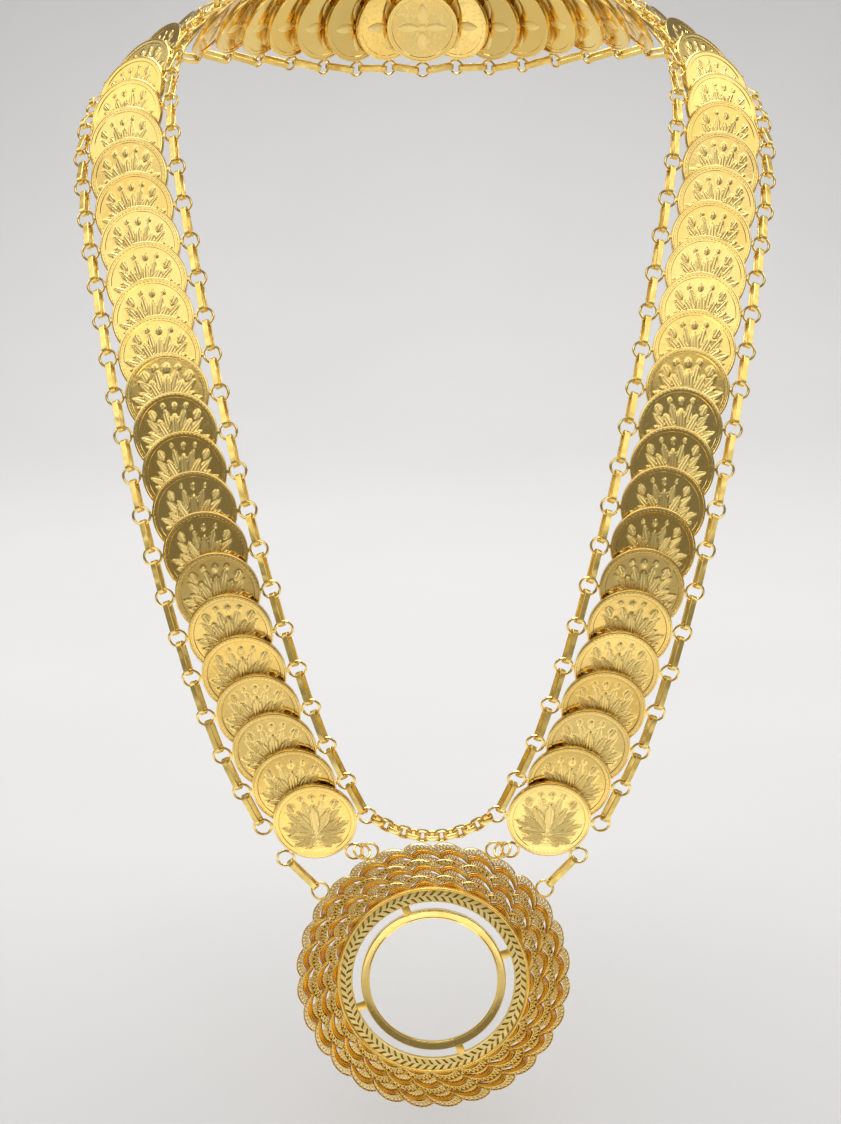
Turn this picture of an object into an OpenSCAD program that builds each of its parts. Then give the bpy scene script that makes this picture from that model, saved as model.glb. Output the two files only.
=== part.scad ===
// Coin necklace with an openwork pendant.
// Two ladders of bezel-set coins run from the pendant over the shoulders and meet at one nape coin.
// The neck stands in the loop: +Z is up, -Y is the front, and the origin is at the middle of the neck.

/* [Coins] */
// Diameter of a strand coin
coin_d = 22.05; // [21.8:0.05:22.2]
// Thickness of a strand coin at its rim
coin_t = 1.4; // [1.3:0.05:1.52]
// Outside diameter of the bezel that holds a coin
bezel_d = 23; // [22.8:0.1:23.2]
// Height of the bezel wall
bezel_h = 1.7; // [1.6:0.05:1.8]
// Height of the struck relief above a coin's field
relief_h = 0.3; // [0.2:0.05:0.35]

/* [Side rings] */
// Outside diameter of a soldered ring
ring_d = 5.4; // [5.2:0.1:5.5]
// Wire diameter of a soldered ring
ring_wire = 0.75; // [0.7:0.05:0.8]
// Distance between the two side rings of a coin, centre to centre
ring_span = 28.7; // [28.6:0.1:28.9]

/* [Long links] */
// Width of the strip that a long link is bent from
strip_w = 1.6; // [1.5:0.05:1.65]
// Thickness of that strip
strip_t = 0.42; // [0.35:0.01:0.45]
// Clear height inside a long link, front to back
link_gap = 1.95; // [1.9:0.05:2]
// How far the front links of a strand roll outwards about their length, in degrees
link_roll = 16; // [0:1:16]

/* [Bridle chain] */
// Length of one of its links
bridle_l = 4.4; // [4.3:0.05:4.5]
// Width of one of its links
bridle_w = 3.4; // [3.3:0.1:3.5]
// Width of the strip that a link is bent from
bridle_strip_w = 1.5; // [1.4:0.1:1.6]
// Thickness of that strip
bridle_strip_t = 0.48; // [0.45:0.01:0.5]
// How far the chain sags below its ends
bridle_sag = 4.6; // [4.2:0.1:5]
// How far the chain stands forward, in front of the pendant's top edge
bridle_bulge = 1.6; // [1.4:0.1:2.2]

/* [Pendant] */
// Outside radius of the outermost row of petals
petal_rows_r = 38.4; // [38:0.1:38.8]
// Step in from one row of petals to the next
petal_row_step = 4.25; // [4.2:0.05:4.3]
// Outside radius of the diamond-cut collar
collar_r = 26.7; // [26.5:0.1:26.9]
// Inside radius of the collar
collar_hole_r = 22.5; // [22.3:0.1:22.7]
// Notches in each of the collar's two rows
notches = 72; // [60:12:72]
// Outside radius of the empty coin ring
seat_outer_r = 20.1; // [20:0.1:20.3]
// Radius of the seat that takes a 36 mm coin
seat_r = 18.15; // [18.1:0.05:18.25]
// Radius of the lip in front of the seat
lip_r = 17.7; // [17.6:0.1:17.8]
// Radius at which the hanging rings sit
hanger_r = 39.8; // [39.7:0.1:40]

/* [Hidden] */
$fn = 48;
eps = 0.1;

// Counts that the layout is made for: coins on each side below the nape coin, links of the bridle
// chain (an odd number), and petals in each row from the outside
coins_per_side = 32;
bridle_links = 13;
petals = [28, 25, 22];

// Lengths inside the coin and its bezel
field_t = 1.0;
coin_rim_w = 0.9;
bezel_wall = 0.6;
lug_w = 1.0;
lug_h = 0.7;
relief_sink = 0.1;

// Clear space left between pieces that lie on or pass through each other
play = 0.15;
stack_gap = 0.45;

ring_mean_r = (ring_d - ring_wire) / 2;
ring_hole_r = ring_d / 2 - ring_wire;

// The last coin carries two lower rings, at these angles from its outer side ring
lower_ring_angles = [-48, -131];

// Middle line of the right strand from its last coin to the nape coin.
// turn swings the outer edge of a coin to the back, and droop lowers it.
// Columns: x, y, z, turn, droop
strand = [
    [32, -126.5, -200, 0, 6],
    [44, -124.5, -176.5, 0, 5],
    [56.5, -119.5, -138.5, 0, 4],
    [67, -105.5, -102.5, 0, 2],
    [76.5, -83, -63.5, 2, 3],
    [85.5, -53, -20, 14, 15],
    [82, -27.5, 0.5, 31, 24],
    [66.5, -2.5, 11.5, 49, 38],
    [45, 17.5, 13, 66, 56],
    [23, 27, 12, 83, 70],
    [0, 31, 12.5, 90, 68]
];
strand_steps = 12;
nape_sink = 3.2;

// Over the shoulders the coins tip more steeply, and there they stand closer together
crowded_from = 17;
crowded_steps = coins_per_side - 0.5 - crowded_from;
crowding = 0.5;

gold = [0.86, 0.68, 0.28];
pale_gold = [0.93, 0.80, 0.42];
deep_gold = [0.80, 0.55, 0.18];

// Small vector helpers
function unit(v) = v / norm(v);
function off_axis(v, axis) = v - (v * axis) * axis;
function clamp1(v) = min(1, max(-1, v));

// Smooth curve through the rows of the strand
function blend4(a, b, c, d, t) =
    (2 * b + (c - a) * t + (2 * a - 5 * b + 4 * c - d) * t * t
     + (3 * b - a - 3 * c + d) * t * t * t) / 2;
last_row = len(strand) - 1;
row_past_nape = let (r = strand[last_row - 1]) [-r[0], r[1], r[2], 180 - r[3], r[4]];
strand_rows = concat([2 * strand[0] - strand[1]], strand, [row_past_nape]);
fine_rows = concat(
    [for (i = [1:last_row], j = [0:strand_steps - 1])
        blend4(strand_rows[i - 1], strand_rows[i], strand_rows[i + 1], strand_rows[i + 2],
               j / strand_steps)],
    [strand[last_row]]
);

// The ring axis of a row, from its inner to its outer side ring
function row_pos(row) = [row[0], row[1], row[2]];
function row_axis(row) = [
    cos(row[3]) * cos(row[4]), sin(row[3]) * cos(row[4]), -sin(row[4])
];

// Length along the strand, taken on whichever row of rings is pulled taut
function ring_move(a, b, side) =
    norm(row_pos(b) - row_pos(a) + side * ring_span / 2 * (row_axis(b) - row_axis(a)));
function taut_step(i) = max(ring_move(fine_rows[i], fine_rows[i + 1], 1),
                            ring_move(fine_rows[i], fine_rows[i + 1], -1));
last_fine = len(fine_rows) - 1;
lengths = [for (i = 0, s = 0; i <= last_fine; s = s + (i < last_fine ? taut_step(i) : 0), i = i + 1) s];
pitch = (lengths[last_fine] + crowding * crowded_steps) / coins_per_side;
tables = [for (c = [0:4]) [for (i = [0:last_fine]) [lengths[i], fine_rows[i][c]]]];
function run(k) = pitch * k - crowding * min(crowded_steps, max(0, k - crowded_from));
function station(k) = [for (c = [0:4]) lookup(run(k), tables[c])];
stations = [for (k = [0:coins_per_side]) station(k)];

// Place and axes of coin k: [centre, across, up, forward], before the coins are shingled
function centre(k) = k < 0 ? 2 * row_pos(stations[0]) - row_pos(stations[1])
    : k > coins_per_side ? let (p = row_pos(stations[2 * coins_per_side - k])) [-p[0], p[1], p[2]]
    : row_pos(stations[k]);
function flat_frame(k) =
    let (across = row_axis(stations[k]),
         forward = unit(cross(across, centre(k + 1) - centre(k - 1))))
    [centre(k), across, cross(forward, across), forward];
flat_frames = [for (k = [0:coins_per_side]) flat_frame(k)];

// Each coin tips forward at its top, just enough to lie over the next coin up where the strand bends most
function bend(k) = acos(clamp1(flat_frames[k][3] * flat_frames[k + 1][3]));
bends = [for (k = [0:coins_per_side - 1]) bend(k)];
function bend_near(k) = max([for (i = [max(0, k - 1):min(coins_per_side - 1, k + 1)]) bends[i]]);
function rise(k) = (flat_frames[k + 1][0] - flat_frames[k][0]) * flat_frames[k][2];
function tip(k) =
    asin((bezel_h + stack_gap + bezel_d / 2 * sin(bend_near(k))) / rise(k)) - bend_near(k) / 2;
function tipped(f, angle) = [
    f[0], f[1], f[2] * cos(angle) + f[3] * sin(angle), f[3] * cos(angle) - f[2] * sin(angle)
];
function sunk(f, depth) = [f[0] - depth * f[3], f[1], f[2], f[3]];
frames = [for (k = [0:coins_per_side])
    k < coins_per_side ? tipped(flat_frames[k], tip(k)) : sunk(flat_frames[k], nape_sink)];

// The same frame on the left or right strand: side is 1 on the right and -1 on the left
function sided(f, side) = side > 0 ? f : [
    [-f[0][0], f[0][1], f[0][2]],
    [f[1][0], -f[1][1], -f[1][2]],
    [-f[2][0], f[2][1], f[2][2]],
    [-f[3][0], f[3][1], f[3][2]]
];
module placed(f) {
    multmatrix([
        [f[1][0], f[2][0], f[3][0], f[0][0]],
        [f[1][1], f[2][1], f[3][1], f[0][1]],
        [f[1][2], f[2][2], f[3][2], f[0][2]],
        [0, 0, 0, 1]
    ]) children();
}

// Centre of the ring soldered to coin k at an angle from its outer side ring
function coin_ring(k, angle, side) =
    let (f = frames[k],
         p = f[0] + ring_span / 2 * (cos(angle) * f[1] + sin(angle) * f[2]))
    [side * p[0], p[1], p[2]];
function forward_of(k, side) = [side * frames[k][3][0], frames[k][3][1], frames[k][3][2]];

// Pointed oval with its base at the origin, for petals and leaves
module leaf_shape(length, width) {
    arc_r = (length * length + width * width) / (4 * width);
    intersection() {
        translate([arc_r - width / 2, length / 2]) circle(arc_r);
        translate([width / 2 - arc_r, length / 2]) circle(arc_r);
    }
}

module raised_leaf(length, width, height, angle) {
    rotate(angle) linear_extrude(height + relief_sink) leaf_shape(length, width);
}

// Petals and leaves of the struck lotus, from the middle one out to the lowest leaves.
// Columns: angle from upright, length, width, share of the relief's height
lotus = [
    [0, 9.4, 3.4, 1],
    [30, 9, 3.2, 0.8],
    [57, 8.4, 3, 0.6],
    [86, 8, 2.6, 0.8]
];
lotus_foot = -4.2;

// Struck flower on the front of a coin: an open lotus over two leaves
module lotus_relief() {
    translate([0, lotus_foot, field_t / 2 - relief_sink])
        for (leaf = lotus, turn = leaf[0] == 0 ? [0] : [-1, 1])
            raised_leaf(leaf[1], leaf[2], leaf[3] * relief_h, turn * leaf[0]);
}

// Plain rosette on the back of a coin: four petals round a button
module rosette_relief() {
    button_r = 1.5;
    petal_foot = 0.9;
    petal_l = 7.2;
    petal_w = 3.4;
    translate([0, 0, -field_t / 2 + relief_sink]) rotate([180, 0, 0])
        linear_extrude(0.8 * relief_h + relief_sink) {
            circle(button_r);
            for (i = [0:3]) rotate(90 * i) translate([0, petal_foot]) leaf_shape(petal_l, petal_w);
        }
}

// Coin and bezel turned as one profile, from the middle to the bezel's outside wall
module coin_body() {
    rim_in = coin_d / 2 - bezel_wall / 2 - coin_rim_w;
    rim_out = bezel_d / 2 - bezel_wall;
    rotate_extrude() polygon([
        [0, -field_t / 2], [rim_in, -field_t / 2], [rim_in, -coin_t / 2], [rim_out, -coin_t / 2],
        [rim_out, -bezel_h / 2], [bezel_d / 2, -bezel_h / 2], [bezel_d / 2, bezel_h / 2],
        [rim_out, bezel_h / 2], [rim_out, coin_t / 2], [rim_in, coin_t / 2],
        [rim_in, field_t / 2], [0, field_t / 2]
    ]);
}

module wire_ring(mean_r, wire) {
    rotate_extrude() translate([mean_r, 0]) circle(d = wire);
}

// A ring beside the bezel and the lug that it is soldered to
module soldered_ring(angle) {
    rotate(angle) {
        translate([ring_span / 2, 0, 0]) wire_ring(ring_mean_r, ring_wire);
        lug_from = bezel_d / 2 - bezel_wall / 2;
        lug_to = ring_span / 2 - ring_mean_r;
        translate([lug_from, -lug_w / 2, -lug_h / 2]) cube([lug_to - lug_from, lug_w, lug_h]);
    }
}

// Coin k with its rings: the last coin of a strand has two more below
module coin(k, side) {
    placed(sided(frames[k], side)) {
        coin_body();
        lotus_relief();
        rosette_relief();
        soldered_ring(0);
        soldered_ring(180);
        if (k == 0)
            for (angle = lower_ring_angles)
                soldered_ring(side > 0 ? angle : 180 - angle);
    }
}

module coin_strand(side) {
    color(gold) for (k = [0:coins_per_side - 1]) coin(k, side);
}

module coins_left() {
    coin_strand(-1);
}

module coins_right() {
    coin_strand(1);
}

module nape_coin() {
    color(gold) coin(coins_per_side, 1);
}

// Loop bent from flat strip: length and width outside, lying in the XY plane
module strip_loop(length, width, strip_width, thickness) {
    linear_extrude(strip_width, center = true) difference() {
        loop_outline(length, width);
        loop_outline(length - 2 * thickness, width - 2 * thickness);
    }
}

module loop_outline(length, width) {
    run = (length - width) / 2;
    square([2 * run, width], center = true);
    for (end = [-1, 1]) translate([end * run, 0]) circle(d = width);
}

// How far from a ring's centre the inside of a strip can come without touching the ring's wire
function strip_reach(width) = sqrt(pow(ring_hole_r, 2) - pow(width / 2, 2)) - play;

// Point on the wire of one ring that is nearest to another ring
function wire_point(from, to, facing) = from + ring_mean_r * unit(off_axis(to - from, facing));

// Long link between ring a and ring b, whose planes face along fa and fb, rolled about its length
module long_link(a, b, fa, fb, slot, roll = 0) {
    wire_a = wire_point(a, b, fa);
    wire_b = wire_point(b, a, fb);
    along = unit(wire_b - wire_a);
    level = unit(off_axis(fa + fb, along));
    depth = cos(roll) * level + sin(roll) * cross(along, level);
    placed([(wire_a + wire_b) / 2, along, depth, cross(along, depth)])
        strip_loop(slot + 2 * strip_t, link_gap + 2 * strip_t, strip_w, strip_t);
}

// All long links are alike, long enough for the two rings that are furthest apart, and a little
// longer because a rolled strip comes nearer to the curve of the wire
link_slack = 0.06;
function wire_gap(k, angle) =
    let (a = coin_ring(k, angle, 1), b = coin_ring(k + 1, angle, 1))
    norm(wire_point(b, a, forward_of(k + 1, 1)) - wire_point(a, b, forward_of(k, 1)));
longest_gap = max([for (k = [0:coins_per_side - 1], angle = [0, 180]) wire_gap(k, angle)]);
link_slot = longest_gap + link_slack + 2 * (ring_mean_r - strip_reach(strip_w / cos(link_roll)));

// Over the shoulders, where the strand turns, the links lie level again
rolled_to = 14;
level_from = 18;
function roll_of(k) = link_roll * min(1, max(0, (level_from - k) / (level_from - rolled_to)));

// One row of long links, along the outer (0 degree) or the inner (180 degree) rings
module link_row(angle, side) {
    color(pale_gold) for (k = [0:coins_per_side - 1])
        long_link(coin_ring(k, angle, side), coin_ring(k + 1, angle, side),
                  forward_of(k, side), forward_of(k + 1, side), link_slot, side * roll_of(k));
}

module outer_links_left() {
    link_row(0, -1);
}

module outer_links_right() {
    link_row(0, 1);
}

module inner_links_left() {
    link_row(180, -1);
}

module inner_links_right() {
    link_row(180, 1);
}

// Bridle chain: a sagging line between the inner rings of the two last coins, from wire to wire
bridle_ring = coin_ring(0, 180, 1);
bridle_slope = [-bridle_ring[0], -2 * bridle_bulge, -2 * bridle_sag];
bridle_end = wire_point(bridle_ring, bridle_ring + bridle_slope, forward_of(0, 1));
function bridle_point(u) = [
    bridle_end[0] * u, bridle_end[1] - bridle_bulge * (1 - u * u), bridle_end[2] - bridle_sag * (1 - u * u)
];
bridle_samples = 60;
bridle_line = [for (i = [0:bridle_samples]) bridle_point(2 * i / bridle_samples - 1)];
bridle_lengths = [for (i = 0, s = 0; i <= bridle_samples;
    s = s + (i < bridle_samples ? norm(bridle_line[i + 1] - bridle_line[i]) : 0), i = i + 1) s];
bridle_tables = [for (c = [0:2]) [for (i = [0:bridle_samples]) [bridle_lengths[i], bridle_line[i][c]]]];
function bridle_at(s) = [for (c = [0:2]) lookup(s, bridle_tables[c])];
bridle_lead = bridle_l / 2 - bridle_strip_t - (ring_mean_r - strip_reach(bridle_strip_w));
bridle_pitch = (bridle_lengths[bridle_samples] - 2 * bridle_lead) / (bridle_links - 1);

function bridle_place(i) = bridle_at(bridle_lead + i * bridle_pitch);
function bridle_along(i) =
    i == 0 ? unit(bridle_place(0) - bridle_line[0])
    : i == bridle_links - 1 ? unit(bridle_line[bridle_samples] - bridle_place(i))
    : unit(bridle_place(i + 1) - bridle_place(i - 1));

// The chain's links lie flat and on edge in turn, both end links flat
module bridle_chain() {
    facing = [0, frames[0][3][1], frames[0][3][2]];
    color(gold) for (i = [0:bridle_links - 1]) {
        along = bridle_along(i);
        front = unit(off_axis(facing, along));
        side = cross(along, front);
        placed(i % 2 == 0 ? [bridle_place(i), along, front, side] : [bridle_place(i), along, -side, front])
            strip_loop(bridle_l, bridle_w, bridle_strip_w, bridle_strip_t);
    }
}

// The pendant's own X is to the right, Y up and Z to the front, and it leans back on the chest.
// Rows of petals are plates row_h thick, each row_lift in front of the one outside it.
pendant_lean = 8;
pendant_up = [0, sin(pendant_lean), cos(pendant_lean)];
pendant_front = [0, -cos(pendant_lean), sin(pendant_lean)];
hanger_angles = [2, 4] * 360 / petals[0];
row_h = 1.1;
row_lift = 1.0;
hanger_z = row_h / 2;

// The outer hanging rings lie drop_reach below the last coins' outer lower rings, drop_back behind
drop_reach = 13.7;
drop_back = 0.2;
drop_from = coin_ring(0, lower_ring_angles[0], 1);
drop_x = hanger_r * sin(hanger_angles[1]);
drop_fall = sqrt(pow(drop_reach, 2) - pow(drop_back, 2) - pow(drop_from[0] - drop_x, 2));
pendant_at = [0, drop_from[1] + drop_back, drop_from[2] - drop_fall]
    - hanger_r * cos(hanger_angles[1]) * pendant_up - hanger_z * pendant_front;
function hanger(i, side) = pendant_at + [side * hanger_r * sin(hanger_angles[i]), 0, 0]
    + hanger_r * cos(hanger_angles[i]) * pendant_up + hanger_z * pendant_front;

// Drop link: a longer long link that carries the pendant
module drop_link(side) {
    a = coin_ring(0, lower_ring_angles[0], side);
    b = hanger(1, side);
    facing = forward_of(0, side);
    gap = norm(wire_point(b, a, pendant_front) - wire_point(a, b, facing));
    slot = gap + link_slack + 2 * (ring_mean_r - strip_reach(strip_w));
    color(pale_gold) long_link(a, b, facing, pendant_front, slot);
}

module drop_link_left() {
    drop_link(-1);
}

module drop_link_right() {
    drop_link(1);
}

// Jump ring through the last coin's inner lower ring and the pendant's inner ring
jump_wire = 0.7;
jump_mean_r = 2.35;
jump_slant = 50;
module jump_ring(side) {
    a = coin_ring(0, lower_ring_angles[1], side);
    b = hanger(0, side);
    along = unit(b - a);
    flat = unit(off_axis(pendant_front, along));
    across = side * cross(flat, along);
    up = across * cos(jump_slant) + flat * sin(jump_slant);
    color(pale_gold) placed([(a + b) / 2, along, up, cross(along, up)])
        wire_ring(jump_mean_r, jump_wire);
}

module jump_ring_left() {
    jump_ring(-1);
}

module jump_ring_right() {
    jump_ring(1);
}

// A row reaches row_overlap in under the next one. In each petal a leaf-shaped opening starts
// petal_edge inside the tip and sweeps sideways.
row_overlap = 1.9;
petal_edge = 1.1;
sweep_angle = 38;
sweep_offset = 0.35;

// One row of petals: a scalloped plate with a swept opening in each petal. The petals of all rows
// are about equally wide, so that an inner row has fewer.
module petal_row(i) {
    r = petal_rows_r - i * petal_row_step;
    petal_turn = 360 / petals[i];
    half_petal = PI * r / petals[i];
    scallop_r = 1.15 * half_petal;
    opening_w = 0.62 * half_petal;
    opening_l = 1.45 * petal_row_step;
    translate([0, 0, i * row_lift]) linear_extrude(row_h) difference() {
        union() {
            circle(r - scallop_r);
            for (k = [0:petals[i] - 1])
                rotate((k + 1 / 2) * petal_turn) translate([0, r - scallop_r]) circle(scallop_r, $fn = 32);
        }
        circle(r - petal_row_step - row_overlap);
        for (k = [0:petals[i] - 1])
            rotate((k + 1 / 2 + sweep_offset) * petal_turn)
                translate([0, r - petal_edge]) rotate(180 + sweep_angle) leaf_shape(opening_l, opening_w);
    }
}

// Collar round the coin ring, with a raised edge wire and two rows of slanted notches
collar_z = len(petals) * row_lift;
collar_h = 1.5;
module collar() {
    edge_wire = 0.9;
    middle_r = (collar_r - edge_wire + collar_hole_r) / 2;
    row_offset = 0.95;
    notch_slant = 40;
    translate([0, 0, collar_z]) {
        difference() {
            linear_extrude(collar_h) difference() {
                circle(collar_r);
                circle(collar_hole_r);
            }
            for (k = [0:notches - 1], row = [-1, 1])
                rotate(k * 360 / notches + (row > 0 ? 180 / notches : 0))
                    translate([middle_r + row * row_offset, 0, collar_h])
                    rotate(row * notch_slant) notch();
        }
        translate([0, 0, collar_h]) wire_ring(collar_r - edge_wire / 2, edge_wire);
    }
}

// Cutter for one notch: a slim bar set on its edge
module notch() {
    notch_l = 1.5;
    notch_w = 0.6;
    rotate([45, 0, 0]) cube([notch_l, notch_w, notch_w], center = true);
}

// Empty coin ring: a seat open to the back, behind a narrow front lip
seat_h = 2.6;
lip_h = 0.5;
seat_z = collar_z + collar_h - seat_h;
module coin_ring_seat() {
    translate([0, 0, seat_z]) difference() {
        cylinder(r = seat_outer_r, h = seat_h);
        translate([0, 0, -eps]) cylinder(r = lip_r, h = seat_h + 2 * eps);
        translate([0, 0, -eps]) cylinder(r = seat_r, h = seat_h - lip_h + eps);
    }
}

// Four tabs that carry the coin ring in the collar
module tabs() {
    tab_w = 2.2;
    tab_h = 1.0;
    tab_z = collar_z + 0.2;
    tab_root = 0.5;
    first_tab = 20;
    from_r = seat_outer_r - tab_root;
    to_r = collar_hole_r + tab_root;
    for (k = [0:3]) rotate(first_tab + 90 * k)
        translate([from_r, -tab_w / 2, tab_z]) cube([to_r - from_r, tab_w, tab_h]);
}

// Rings on the outermost row, in the dips between its petals
module hangers() {
    for (side = [-1, 1], angle = hanger_angles)
        rotate(-side * angle) translate([0, hanger_r, hanger_z]) wire_ring(ring_mean_r, ring_wire);
}

module pendant() {
    color(deep_gold) translate(pendant_at) rotate([90 - pendant_lean, 0, 0]) {
        for (i = [0:len(petals) - 1]) petal_row(i);
        collar();
        coin_ring_seat();
        tabs();
        hangers();
    }
}

coins_left();
coins_right();
nape_coin();
outer_links_left();
outer_links_right();
inner_links_left();
inner_links_right();
bridle_chain();
drop_link_left();
drop_link_right();
jump_ring_left();
jump_ring_right();
pendant();
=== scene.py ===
import math

import bmesh
import bpy
import numpy as np
from mathutils import Matrix, Vector


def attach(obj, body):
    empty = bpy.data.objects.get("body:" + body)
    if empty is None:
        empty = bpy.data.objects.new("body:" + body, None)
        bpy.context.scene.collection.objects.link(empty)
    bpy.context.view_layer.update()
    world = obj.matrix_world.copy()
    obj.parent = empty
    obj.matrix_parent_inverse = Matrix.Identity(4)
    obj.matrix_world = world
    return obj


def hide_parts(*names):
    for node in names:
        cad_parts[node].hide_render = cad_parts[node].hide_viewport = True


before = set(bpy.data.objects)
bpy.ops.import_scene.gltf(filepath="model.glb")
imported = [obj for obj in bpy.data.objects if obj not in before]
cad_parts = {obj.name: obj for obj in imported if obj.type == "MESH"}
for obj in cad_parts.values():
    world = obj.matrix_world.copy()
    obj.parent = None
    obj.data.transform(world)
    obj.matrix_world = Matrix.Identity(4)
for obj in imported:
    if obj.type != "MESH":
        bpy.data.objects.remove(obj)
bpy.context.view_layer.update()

# Struck coins: thick gold coins 22 mm across, all from one pair of dies. The raised rim and the field
# are mirror bright and the relief is frosted. The front shows an open lotus on a pond and the back a
# rosette. Sizes are in mm from the coin's middle, and Z points out of its front.
mm = 0.001
coin_r = 10.9
struck_r = 9.85
field_r = struck_r - 0.05
field_z = 0.5
rim_z = 0.7
blank_steps = 48
struck_cells = 47
mirror_golds = ((0.88, 0.60, 0.17), (0.94, 0.70, 0.25))
clouded_gold = (0.82, 0.54, 0.14)
frosted_gold = (1.0, 0.77, 0.29)

# Relief of the front: leaves by degrees from upright, length, width and share of the relief's
# height, buds over them by place, length and width, and the ripples of the pond below
relief_h = 0.32
highest_relief = 0.345
lotus_foot = (0, -4.2)
lotus_leaves = [
    (0, 9.4, 3.6, 1.0), (30, 9.0, 3.4, 0.84), (57, 8.4, 3.2, 0.74), (86, 8.0, 2.9, 0.84),
    (15, 11.6, 2.9, 0.5), (43, 11.0, 2.8, 0.4), (71, 10.0, 2.6, 0.42),
    (112, 7.4, 2.6, 0.62), (138, 5.6, 2.4, 0.5),
]
rib_share = 0.16
rib_w = 0.25
leaf_frost = 1.6
buds = [
    (-5.3, 5.1, 3.0, 2.0), (5.3, 5.1, 3.0, 2.0), (0, 7.3, 2.0, 1.5), (-2.9, 7.4, 1.6, 1.1),
    (2.9, 7.4, 1.6, 1.1),
]
bud_share = 0.8
bud_fan = 9
bud_frost = 2
pond_top = -5.1
pond_r = 9.3
pond_share = 0.5
pond_frost = 0.7
ripple_rate = 5.6
ripple_bow = 0.03


def loose_solids(*node_names):
    """Corners in mm, face normals and face areas of each loose solid in some CAD nodes."""
    solids = []
    for name in node_names:
        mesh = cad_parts[name].data
        points = np.empty(len(mesh.vertices) * 3)
        mesh.vertices.foreach_get("co", points)
        points = points.reshape(-1, 3) / mm
        merged = np.unique(points.round(4), axis=0, return_inverse=True)[1].ravel()
        corners = np.empty(len(mesh.loops), int)
        mesh.loops.foreach_get("vertex_index", corners)
        corners = corners.reshape(-1, 3)
        normals, areas = np.empty(len(corners) * 3), np.empty(len(corners))
        mesh.polygons.foreach_get("normal", normals)
        mesh.polygons.foreach_get("area", areas)
        normals = normals.reshape(-1, 3)
        # Points that share a triangle take the lowest of their labels, until no label changes
        spots, label = merged[corners], np.arange(merged.max() + 1)
        while True:
            lowest = label[spots].min(axis=1)
            spread = label.copy()
            for corner in range(3):
                np.minimum.at(spread, spots[:, corner], lowest)
            spread = spread[spread]
            if (spread == label).all():
                break
            label = spread
        owner = label[spots[:, 0]]
        for solid in np.unique(owner):
            mine = owner == solid
            solids.append((points[np.unique(corners[mine])], normals[mine], areas[mine]))
    return solids


def coin_places(*node_names):
    """Matrix of each coin in some CAD nodes, from the lowest up.

    X is across to the viewer's right, Y up the strand and Z out of the coin's face.
    """
    flush, ring_from, askew = 0.02, 13.0, (0.3, 0.5, 0.8)
    found = []
    for points, normals, areas in loose_solids(*node_names):
        # The axis is the way that most of the surface faces, and the rest lies flat across it
        axis = np.linalg.eigh((normals * areas[:, None]).T @ normals)[1][:, -1]
        side = np.cross(axis, askew)
        side /= np.linalg.norm(side)
        flat = np.array([side, np.cross(axis, side)])
        # The bezel's edge gives the middle, and the side rings give the way across
        height = points @ axis
        rim = points[height > height.max() - flush] @ flat.T
        middle = (rim.max(axis=0) + rim.min(axis=0)) / 2
        centre = middle @ flat + axis * (height.max() + height.min()) / 2
        u, v = (points - centre) @ flat[0], (points - centre) @ flat[1]
        ring = np.hypot(u, v) > ring_from
        angle = np.angle(np.exp(2j * np.arctan2(v, u))[ring].sum()) / 2
        found.append((centre, axis, math.cos(angle) * flat[0] + math.sin(angle) * flat[1]))
    order = [min(range(len(found)), key=lambda i: found[i][0][2])]
    while len(order) < len(found):
        last = found[order[-1]][0]
        rest = [i for i in range(len(found)) if i not in order]
        order.append(min(rest, key=lambda i: np.linalg.norm(found[i][0] - last)))
    places, right = [], np.array([1.0, 0, 0])
    for k, i in enumerate(order):
        centre, axis, across = found[i]
        across = across if across @ right > 0 else -across
        right = across
        onward = found[order[min(k + 1, len(order) - 1)]][0] - found[order[max(k - 1, 0)]][0]
        axis = axis if np.cross(axis, across) @ onward > 0 else -axis
        up = np.cross(axis, across)
        rows = [[across[r], up[r], axis[r], centre[r] * mm] for r in range(3)]
        places.append(Matrix(rows + [[0, 0, 0, 1]]))
    return places


def in_leaf(x, y, foot, angle, length, width):
    """How far a point is inside a pointed leaf, and its distance from the leaf's rib in mm.

    The first runs from 0 at the leaf's edge to 1 on its rib.
    """
    dx, dy = x - foot[0], y - foot[1]
    turn = math.radians(angle)
    along = (dx * math.sin(turn) + dy * math.cos(turn)) / length
    across = dx * math.cos(turn) - dy * math.sin(turn)
    if not 0 < along < 1:
        return 0, 0
    return max(0, 1 - abs(across) / (width / 2 * (1 - (2 * along - 1) ** 2))), across


def struck(x, y):
    """Height of the relief at a point of the front, its frosting, and its distance from a rib."""
    best, frosted, vein = 0, 0, 0
    for angle, length, width, share in lotus_leaves:
        for side in (-1, 1) if angle else (1,):
            inside, across = in_leaf(x, y, lotus_foot, side * angle, length, width)
            if inside > 0:
                dome = math.sqrt(1 - (1 - inside) ** 2)
                rib = rib_share * math.exp(-(across / rib_w) ** 2)
                height = share * ((1 - rib_share) * dome + rib) * relief_h
                if height > best:
                    best, frosted, vein = height, min(1, leaf_frost * inside), across
    for bud_x, bud_y, length, width in buds:
        foot, lean = (bud_x, bud_y - length / 2), math.degrees(math.atan2(bud_x, bud_fan))
        inside, across = in_leaf(x, y, foot, lean, length, width)
        height = bud_share * relief_h * math.sqrt(inside)
        if height > best:
            best, frosted, vein = height, min(1, bud_frost * inside), across
    r = math.hypot(x, y)
    if not best and y < pond_top and r < pond_r:
        ripple = 0.5 + 0.5 * math.cos(ripple_rate * (y + ripple_bow * x * x))
        best = pond_share * relief_h * ripple * min(1, pond_r - r)
        frosted = pond_frost * ripple
    return min(best, highest_relief), frosted, vein


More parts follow.
